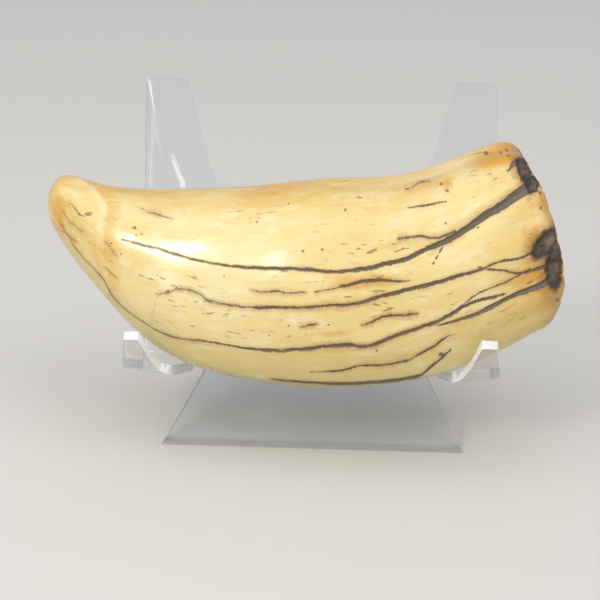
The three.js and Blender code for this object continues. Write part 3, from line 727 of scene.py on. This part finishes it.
class ORNAMENT_OT_tooth(Operator):
    """Make the polished whale tooth with its age cracks"""
    bl_idname = "ornament.make_tooth"
    bl_label = "Whale Tooth"

    def execute(self, context):
        settings = context.scene.whale_tooth
        around, rings = settings.around, settings.rings
        deselect()
        bpy.ops.mesh.primitive_uv_sphere_add(segments=around, ring_count=rings, radius=1)
        tooth = context.object
        tooth.name = tooth.data.name = "tooth_ivory"
        count = len(tooth.data.vertices)
        ball = np.empty(count * 3)
        tooth.data.vertices.foreach_get("co", ball)
        ball = ball.reshape(-1, 3)
        row = np.rint(np.arccos(np.clip(ball[:, 2], -1, 1)) / np.pi * rings).astype(int)
        turn = np.arctan2(ball[:, 1], ball[:, 0]) % (2 * np.pi)
        seat = np.rint(turn / (2 * np.pi) * around).astype(int) % around
        if len(np.unique(row * around + np.where((row == 0) | (row == rings), 0, seat))) != count:
            raise RuntimeError("the tooth's rings could not be told apart")

        # Faces crowd toward the shown side, where the cracks are, and rings toward the tip.
        even = np.arange(around) / around * 2 * np.pi
        angle = even - FRONT_CROWD * np.sin(even)
        body_rows = int(rings * BODY_SHARE)
        ring = np.arange(rings + 1)
        share = np.clip(ring / body_rows, 0, 1) ** TIP_CROWD
        over = np.clip((ring - body_rows) / (rings - body_rows), 0, 1) * (len(ROOT_RINGS) - 1)
        size = np.interp(over, np.arange(len(ROOT_RINGS)), ROOT_RINGS[:, 0])
        out = np.interp(over, np.arange(len(ROOT_RINGS)), ROOT_RINGS[:, 1])
        for _ in range(3):
            inner = slice(body_rows + 1, rings)
            size[inner] = 0.25 * size[body_rows:rings - 1] + 0.5 * size[inner] + 0.25 * size[body_rows + 2:]
            out[inner] = 0.25 * out[body_rows:rings - 1] + 0.5 * out[inner] + 0.25 * out[body_rows + 2:]
        grid = np.broadcast_arrays(share[:, None], angle[None, :], size[:, None], out[:, None])
        points = tooth_points(*grid) + set_down()

        # The rim is uneven: shallow lobes and chips, all inside the solid.
        rim = smooth(0.2, 3.0, over)[:, None] * smooth(8.5, 5.0, over)[:, None]
        lobes = ripple(3, 5, 8, 11, 13)(angle)
        chips = np.maximum(0, ripple(8, 17, 23, 31)(angle) - 0.15)
        direction = tooth_points(*np.broadcast_arrays(1.0, angle[None, :], 1.0, 1.0)) - tooth_points(
            *np.broadcast_arrays(1.0, angle[None, :], 1.0, 0.0))
        proud = np.interp(np.sin(angle), *RIM_SHAPE)[None, :] * smooth(0.86, 1.0, share)[:, None]
        proud = proud * smooth(7.5, 4.5, over)[:, None] - rim * (0.25 * (1 - lobes) + 0.6 * chips)
        points += direction * proud[..., None]

        across = np.roll(points, -1, 1) - np.roll(points, 1, 1)
        lengthwise = np.gradient(points, axis=0)
        normal = np.cross(across, lengthwise)
        normal /= np.maximum(np.linalg.norm(normal, axis=-1, keepdims=True), 1e-9)
        middle = points.mean(1, keepdims=True)
        mid_row = rings // 2
        if np.sum(normal[mid_row] * (points[mid_row] - middle[mid_row])) < 0:
            normal = -normal
        normal[0] = normal[rings] = 0
        x, v, w = on_side(points)
        front = smooth(18, 24, w) * smooth(4.2, 0.8, over)[:, None]
        swell = 0.04 * smooth(0.55, 1, share)[:, None] * (ripple(21, 19, 26, 33)(angle)[None, :] - 1)
        depth = relief(x, v, front) - swell + settings.skin * 1000
        points -= normal * depth[..., None]
        low, high = (np.array(c) * 1000 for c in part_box("tooth"))
        points = np.clip(points, low + BOX_MARGIN, high - BOX_MARGIN)

        place = points[row, seat] / 1000
        tooth.data.vertices.foreach_set("co", place.ravel())
        grain = np.stack(np.broadcast_arrays(
            (share * TOOTH_LENGTH + np.interp(ring, [body_rows, rings], [0, GRAIN_OVER_ROOT]))[:, None],
            (GRAIN_RADIUS * np.cos(angle))[None, :] * np.maximum(size, 0.02)[:, None],
            (GRAIN_RADIUS * np.sin(angle))[None, :] * np.maximum(size, 0.02)[:, None]), -1)
        form = np.stack(np.broadcast_arrays(
            share[:, None], np.sin(angle)[None, :], (over / 4)[:, None]), -1)
        for name, values in (("grain", grain), ("form", form)):
            attribute = tooth.data.attributes.new(name, "FLOAT_VECTOR", "POINT")
            attribute.data.foreach_set("vector", values[row, seat].astype(np.float32).ravel())
        tooth.data.update()

        choose(tooth)
        corner = place[list(tooth.data.polygons[len(tooth.data.polygons) // 2].vertices)]
        facing = np.cross(corner[1] - corner[0], corner[2] - corner[1])
        if np.dot(facing, corner.mean(0) - place.mean(0)) < 0:
            bpy.ops.object.mode_set(mode="EDIT")
            bpy.ops.mesh.select_all(action="SELECT")
            bpy.ops.mesh.flip_normals()
            bpy.ops.object.mode_set(mode="OBJECT")
        bpy.ops.object.shade_smooth()
        tooth.data.materials.append(polished_ivory(settings))
        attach(tooth, "root")
        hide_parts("tooth")
        return {"FINISHED"}


class ORNAMENT_OT_stand(Operator):
    """Make the clear bent easel stand"""
    bl_idname = "ornament.make_stand"
    bl_label = "Easel Stand"

    def execute(self, context):
        settings = context.scene.easel_stand
        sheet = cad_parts["stand"].data.copy()
        stand = bpy.data.objects.new("stand_clear", sheet)
        context.scene.collection.objects.link(stand)
        sheet.name = "stand_clear"
        choose(stand)
        bpy.ops.object.mode_set(mode="EDIT")
        bpy.ops.mesh.select_all(action="SELECT")
        bpy.ops.mesh.remove_doubles(threshold=0.00001)
        bpy.ops.mesh.dissolve_limited(angle_limit=math.radians(1.0))
        bpy.ops.object.mode_set(mode="OBJECT")
        bevel = stand.modifiers.new("soft edges", "BEVEL")
        bevel.width = settings.edge_round
        bevel.segments = 2
        bevel.limit_method = "ANGLE"
        bevel.angle_limit = math.radians(40)
        bevel.harden_normals = False
        bpy.ops.object.modifier_apply(modifier=bevel.name)
        bpy.ops.object.shade_smooth_by_angle(angle=math.radians(30))
        sheet.materials.clear()
        sheet.materials.append(cast_acrylic(settings))
        sheet.materials.append(sawn_acrylic(settings))
        # Cut edges face sideways, up the panel at the arms' tops, out of the lips' ends, or forward as
        # the foot's narrow front rim. What lies on the surface itself stays clear.
        up_panel = Vector((0, math.sin(LEAN), math.cos(LEAN)))
        for face in sheet.polygons:
            middle, normal = face.center, face.normal
            side = abs(normal.x) > 0.5
            top = normal.dot(up_panel) > 0.93 and middle.z > ARMS_ABOVE
            lip = normal.z > 0.75 and middle.y < LIPS_BEFORE
            rim = normal.y < -0.2 and middle.z < RIM_BELOW and face.area < RIM_AREA
            sawn = (side or top or lip or rim) and middle.z >= SURFACE
            face.material_index = 1 if sawn else 0
        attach(stand, "root")
        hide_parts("stand")
        return {"FINISHED"}


class ORNAMENT_OT_stage(Operator):
    """Lay the floor, set the soft lights and place the camera"""
    bl_idname = "ornament.make_stage"
    bl_label = "Stage"

    def execute(self, context):
        settings = context.scene.tooth_stage
        deselect()
        bpy.ops.mesh.primitive_plane_add(size=4)
        floor = context.object
        floor.name = "floor"
        floor.data.materials.append(pale_floor(settings))

        # The camera and the lights aim at the middle of what the photograph shows.
        target = Vector((0.0003, -0.033, 0.0515))
        # Softboxes: direction toward the light, distance, size and power.
        lights = [
            ("window_softbox", from_angles(-35.2, 38.5), 0.9, 0.09, 0.22, 1.7, "FFFCF6"),
            ("window_strip", from_angles(-34.5, 30.0), 1.0, 0.04, 0.95, 0.8, "FFFCF6"),
            ("small_softbox", from_angles(-20.3, 37.0), 0.9, 0.06, 0.06, 0.26, "FFFCF6"),
            ("left_fill", from_angles(-70.0, 55.0), 1.3, 0.9, 0.9, 2.6, "FFFBF4"),
            ("right_fill", from_angles(55.0, 45.0), 1.3, 0.9, 0.9, 4.8, "FFFDFA"),
            ("top_fill", from_angles(10.0, 82.0), 1.4, 1.2, 1.2, 4.0, "F6F9FF"),
        ]
        for name, direction, distance, wide, tall, power, colour in lights:
            lamp = bpy.data.lights.new(name, "AREA")
            lamp.shape = "RECTANGLE"
            lamp.size, lamp.size_y = wide, tall
            lamp.energy = power * settings.light
            lamp.color = linear(colour)
            light = bpy.data.objects.new(name, lamp)
            context.scene.collection.objects.link(light)
            light.location = target + direction.normalized() * distance
            light.rotation_euler = (-direction).to_track_quat("-Z", "Y").to_euler()

        world = bpy.data.worlds.new("soft room")
        context.scene.world = world
        world.use_nodes = True
        background = world.node_tree.nodes["Background"]
        background.inputs[0].default_value = rgba("EEF3FA")
        background.inputs[1].default_value = 0.62 * settings.light
        context.scene.view_settings.view_transform = "Standard"

        lens = bpy.data.cameras.new("view")
        lens.lens = 96.78
        lens.sensor_width = 36
        lens.clip_start = 0.01
        camera = bpy.data.objects.new("view", lens)
        context.scene.collection.objects.link(camera)
        rise, swing = settings.elevation, settings.azimuth
        toward = Vector((math.sin(swing) * math.cos(rise), -math.cos(swing) * math.cos(rise), math.sin(rise)))
        camera.location = target + toward * settings.distance
        camera.rotation_euler = (-toward).to_track_quat("-Z", "Y").to_euler()
        context.scene.camera = camera
        return {"FINISHED"}


class ORNAMENT_PT_panel(Panel):
    bl_label = "Whale Tooth"
    bl_idname = "ORNAMENT_PT_panel"
    bl_space_type = "VIEW_3D"
    bl_region_type = "UI"
    bl_category = "Tooth"

    def draw(self, context):
        for group, operator in (("whale_tooth", "ornament.make_tooth"),
                                ("easel_stand", "ornament.make_stand"),
                                ("tooth_stage", "ornament.make_stage")):
            box = self.layout.box()
            settings = getattr(context.scene, group)
            for key in settings.__annotations__:
                box.prop(settings, key)
            box.operator(operator)


CLASSES = (
    ToothSettings, StandSettings, StageSettings,
    ORNAMENT_OT_tooth, ORNAMENT_OT_stand, ORNAMENT_OT_stage, ORNAMENT_PT_panel,
)


def register():
    for cls in CLASSES:
        bpy.utils.register_class(cls)
    bpy.types.Scene.whale_tooth = PointerProperty(type=ToothSettings)
    bpy.types.Scene.easel_stand = PointerProperty(type=StandSettings)
    bpy.types.Scene.tooth_stage = PointerProperty(type=StageSettings)


def unregister():
    del bpy.types.Scene.tooth_stage
    del bpy.types.Scene.easel_stand
    del bpy.types.Scene.whale_tooth
    for cls in reversed(CLASSES):
        bpy.utils.unregister_class(cls)


def main():
    register()
    bpy.ops.ornament.make_stage()
    bpy.ops.ornament.make_tooth()
    bpy.ops.ornament.make_stand()


if __name__ == "__main__":
    main()
